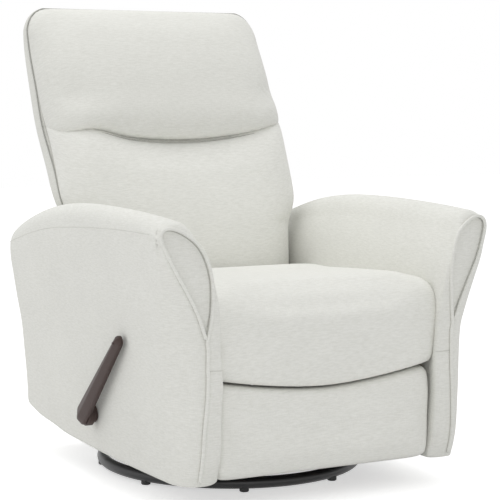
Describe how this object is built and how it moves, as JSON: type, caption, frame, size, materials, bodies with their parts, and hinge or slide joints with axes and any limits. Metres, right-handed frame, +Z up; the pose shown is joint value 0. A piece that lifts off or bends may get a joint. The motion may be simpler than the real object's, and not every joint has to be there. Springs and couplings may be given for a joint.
{
  "type": "swivel glider recliner",
  "caption": "Padded nursery armchair that swivels and glides on a round floor ring, with a reclining back and a footrest opened by a side lever.",
  "frame": {"origin": "on the floor, under the centre of the overall bounding box, with the footrest closed, the back upright and the glider hanging at rest", "axes": "+Z up, the chair faces -Y, the lever is at -X on the sitter's right-hand side"},
  "size_m": [0.764, 0.913, 1.015],
  "materials": {
    "upholstery": "off-white slubby linen-look weave",
    "timber": "raw hardwood",
    "black_steel": "satin black powder coat",
    "bright_steel": "zinc-plated",
    "nylon": "natural nylon",
    "glide_plastic": "matt black",
    "lever_plastic": "satin dark brown",
    "webbing": "woven elastic"
  },
  "bodies": {
    "base": {"base_ring": "black_steel", "base_cross": "black_steel", "floor_glides": "glide_plastic", "bearing_plate": "black_steel", "swivel_post": "bright_steel", "swivel_nut": "bright_steel", "swivel_washer": "nylon"},
    "turntable": {"turntable_plate": "black_steel", "turntable_bars": "black_steel", "glider_posts": "black_steel", "upper_glide_pins": "bright_steel"},
    "front_glide_link": {"front_glide_links": "black_steel"},
    "rear_glide_link": {"rear_glide_links": "black_steel"},
    "chassis": {"glide_rails": "black_steel", "lower_glide_pins": "bright_steel", "front_cross_bar": "black_steel", "rear_cross_tube": "black_steel", "mechanism_plates": "black_steel", "plate_rivets": "bright_steel", "plate_bolts": "bright_steel", "seat_side_rails": "timber", "seat_front_rail": "timber", "seat_rear_rail": "timber", "seat_springs": "bright_steel", "spring_clips": "bright_steel", "seat_cushion": "upholstery", "arm_frame_left": "timber", "arm_frame_right": "timber", "arm_pad_left": "upholstery", "arm_pad_right": "upholstery", "arm_outside_left": "upholstery", "arm_outside_right": "upholstery", "arm_inside_left": "upholstery", "arm_inside_right": "upholstery", "arm_cleats": "timber", "arm_screws": "bright_steel", "hinge_bolts": "bright_steel", "rear_panel": "upholstery", "lever_boss": "lever_plastic"},
    "back": {"back_posts": "timber", "back_brackets": "black_steel", "back_top_rail": "timber", "back_middle_rail": "timber", "back_bottom_rail": "timber", "back_webbing": "webbing", "outer_back": "upholstery", "lumbar_cushion": "upholstery", "head_cushion": "upholstery"},
    "front_link": {"front_links": "black_steel"},
    "inner_link": {"inner_links": "black_steel"},
    "outer_link": {"outer_links": "black_steel"},
    "footrest_pad": {"footrest_brackets": "black_steel", "footrest_board": "timber", "footrest_cushion": "upholstery"},
    "rear_link": {"rear_links": "black_steel"},
    "drive": {"drive_tube": "black_steel", "cranks": "black_steel", "lever_handle": "lever_plastic"},
    "drive_link": {"drive_links": "black_steel"}
  },
  "joints": [
    {"name": "swivel", "type": "hinge", "parent": "base", "child": "turntable", "pos_m": [0, -0.026, 0.035], "axis": [0, 0, 1], "continuous": true},
    {"name": "glide", "type": "hinge", "parent": "turntable", "child": "front_glide_link", "pos_m": [0, -0.146, 0.19], "axis": [1, 0, 0], "range_deg": [-15, 15]},
    {"name": "rear_glide", "type": "hinge", "parent": "turntable", "child": "rear_glide_link", "pos_m": [0, 0.094, 0.19], "axis": [1, 0, 0], "range_deg": [-15, 15]},
    {"name": "chassis_hang", "type": "hinge", "parent": "front_glide_link", "child": "chassis", "pos_m": [0, -0.146, 0.085], "axis": [1, 0, 0], "range_deg": [-15, 15]},
    {"name": "recline", "type": "hinge", "parent": "chassis", "child": "back", "pos_m": [0, 0.212, 0.29], "axis": [-1, 0, 0], "range_deg": [0, 35]},
    {"name": "footrest", "type": "hinge", "parent": "chassis", "child": "front_link", "pos_m": [0, -0.295, 0.31], "axis": [-1, 0, 0], "range_deg": [0, 90]},
    {"name": "inner_fold", "type": "hinge", "parent": "front_link", "child": "inner_link", "pos_m": [0, -0.206, 0.15585], "axis": [-1, 0, 0], "range_deg": [-112, 0]},
    {"name": "outer_fold", "type": "hinge", "parent": "front_link", "child": "outer_link", "pos_m": [0, -0.182, 0.11428], "axis": [-1, 0, 0], "range_deg": [-112, 0]},
    {"name": "pad_turn", "type": "hinge", "parent": "inner_link", "child": "footrest_pad", "pos_m": [0, -0.3102, 0.26375], "axis": [-1, 0, 0], "range_deg": [0, 112]},
    {"name": "rear_link_swing", "type": "hinge", "parent": "chassis", "child": "rear_link", "pos_m": [0, -0.243, 0.288], "axis": [-1, 0, 0], "range_deg": [0, 91.8]},
    {"name": "lever", "type": "hinge", "parent": "chassis", "child": "drive", "pos_m": [0, -0.048, 0.146], "axis": [-1, 0, 0], "range_deg": [0, 90]},
    {"name": "drive_link_swing", "type": "hinge", "parent": "drive", "child": "drive_link", "pos_m": [0, -0.023, 0.1027], "axis": [-1, 0, 0], "range_deg": [-90, 0]}
  ],
  "couplings": [
    {"joint": "rear_glide", "follows": "glide", "ratio": 1},
    {"joint": "chassis_hang", "follows": "glide", "ratio": -1},
    {"joint": "inner_fold", "follows": "footrest", "ratio": -1.2444},
    {"joint": "outer_fold", "follows": "footrest", "ratio": -1.2444},
    {"joint": "pad_turn", "follows": "footrest", "ratio": 1.2444},
    {"joint": "rear_link_swing", "follows": "footrest", "ratio": 1.02},
    {"joint": "lever", "follows": "footrest", "ratio": 1},
    {"joint": "drive_link_swing", "follows": "footrest", "ratio": -1}
  ]
}
